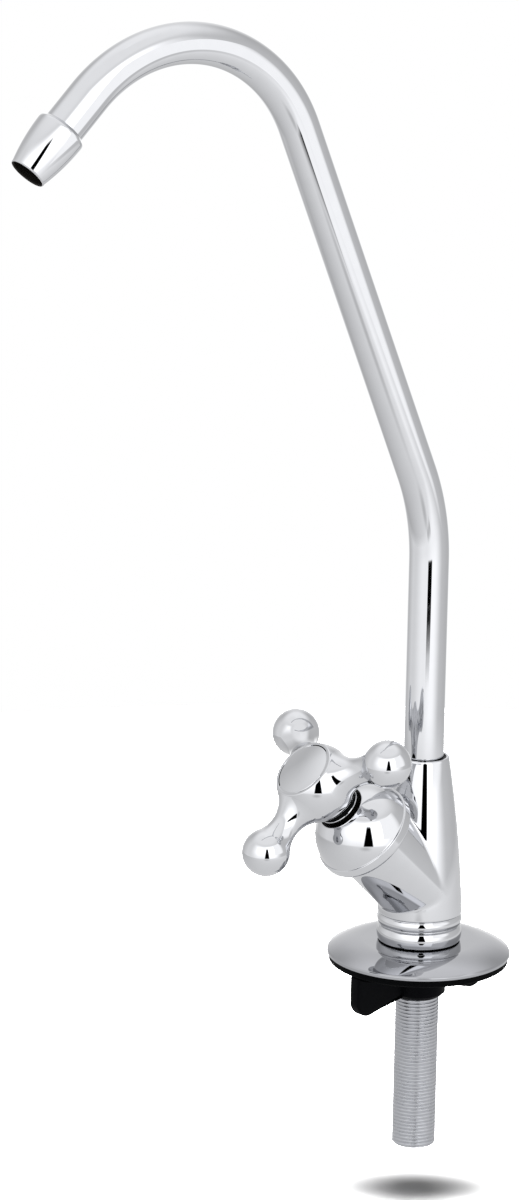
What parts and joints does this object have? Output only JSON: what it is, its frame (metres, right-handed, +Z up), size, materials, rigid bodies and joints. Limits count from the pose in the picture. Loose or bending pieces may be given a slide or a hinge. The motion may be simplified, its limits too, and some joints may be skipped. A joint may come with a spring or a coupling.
{
  "type": "drinking water filter tap",
  "caption": "Deck-mounted chrome water filter tap with a tall bent swivel spout, an angled valve branch with a ball-ended handle, a round base plate and a threaded shank with a wing nut.",
  "frame": {"origin": "centre of the rubber washer's underside, on the shank's axis, in the plane of the worktop's upper face", "axes": "+Z up along the column and the shank, -Y towards the user, the way the spout and the valve branch point at rest, +X to the left as the user sees it from the front, looking along +Y"},
  "size_m": [0.0538, 0.1578, 0.3182],
  "materials": {
    "chrome": "polished",
    "brass": "turned",
    "rubber": "moulded, satin",
    "black_plastic": "moulded, satin",
    "zinc_steel": "zinc plated",
    "stainless": "plain",
    "dark_nylon": "moulded",
    "alumina": "lapped",
    "white_plastic": "moulded"
  },
  "bodies": {
    "tap_body": {"body": "chrome", "base_plate": "chrome", "deck_washer": "rubber", "shank": "zinc_steel", "shank_seal": "rubber", "bonnet": "chrome", "cartridge_body": "brass", "cartridge_o_ring": "rubber", "seat_seal": "rubber", "fixed_disc": "alumina", "spout_bush": "dark_nylon"},
    "spout": {"spout_tube": "chrome", "spout_nozzle": "chrome", "spout_spigot": "brass", "spout_o_rings": "rubber", "spout_retainer": "stainless"},
    "handle": {"handle": "chrome", "handle_screw": "stainless", "index_cap": "chrome", "spindle": "brass", "spindle_o_rings": "rubber", "spindle_clip": "stainless", "thrust_washer": "white_plastic", "moving_disc": "alumina"},
    "slip_washer": {"slip_washer": "black_plastic"},
    "wing_nut": {"wing_nut": "black_plastic"}
  },
  "joints": [
    {"name": "spout_swivel", "type": "hinge", "parent": "tap_body", "child": "spout", "pos_m": [0, 0, 0.05], "axis": [0, 0, 1], "continuous": true},
    {"name": "handle_turn", "type": "hinge", "parent": "tap_body", "child": "handle", "pos_m": [0, 0, 0.0204], "axis": [0, -0.7071, 0.7071], "range_deg": [0, 90]},
    {"name": "nut_travel", "type": "slide", "parent": "tap_body", "child": "slip_washer", "axis": [0, 0, -1], "range_m": [0, 0.0401]},
    {"name": "nut_turn", "type": "hinge", "parent": "slip_washer", "child": "wing_nut", "pos_m": [0, 0, -0.005], "axis": [0, 0, -1], "range_deg": [0, 14400]}
  ],
  "couplings": [
    {"joint": "nut_travel", "follows": "nut_turn", "m_per_rad": 0.00015915}
  ]
}
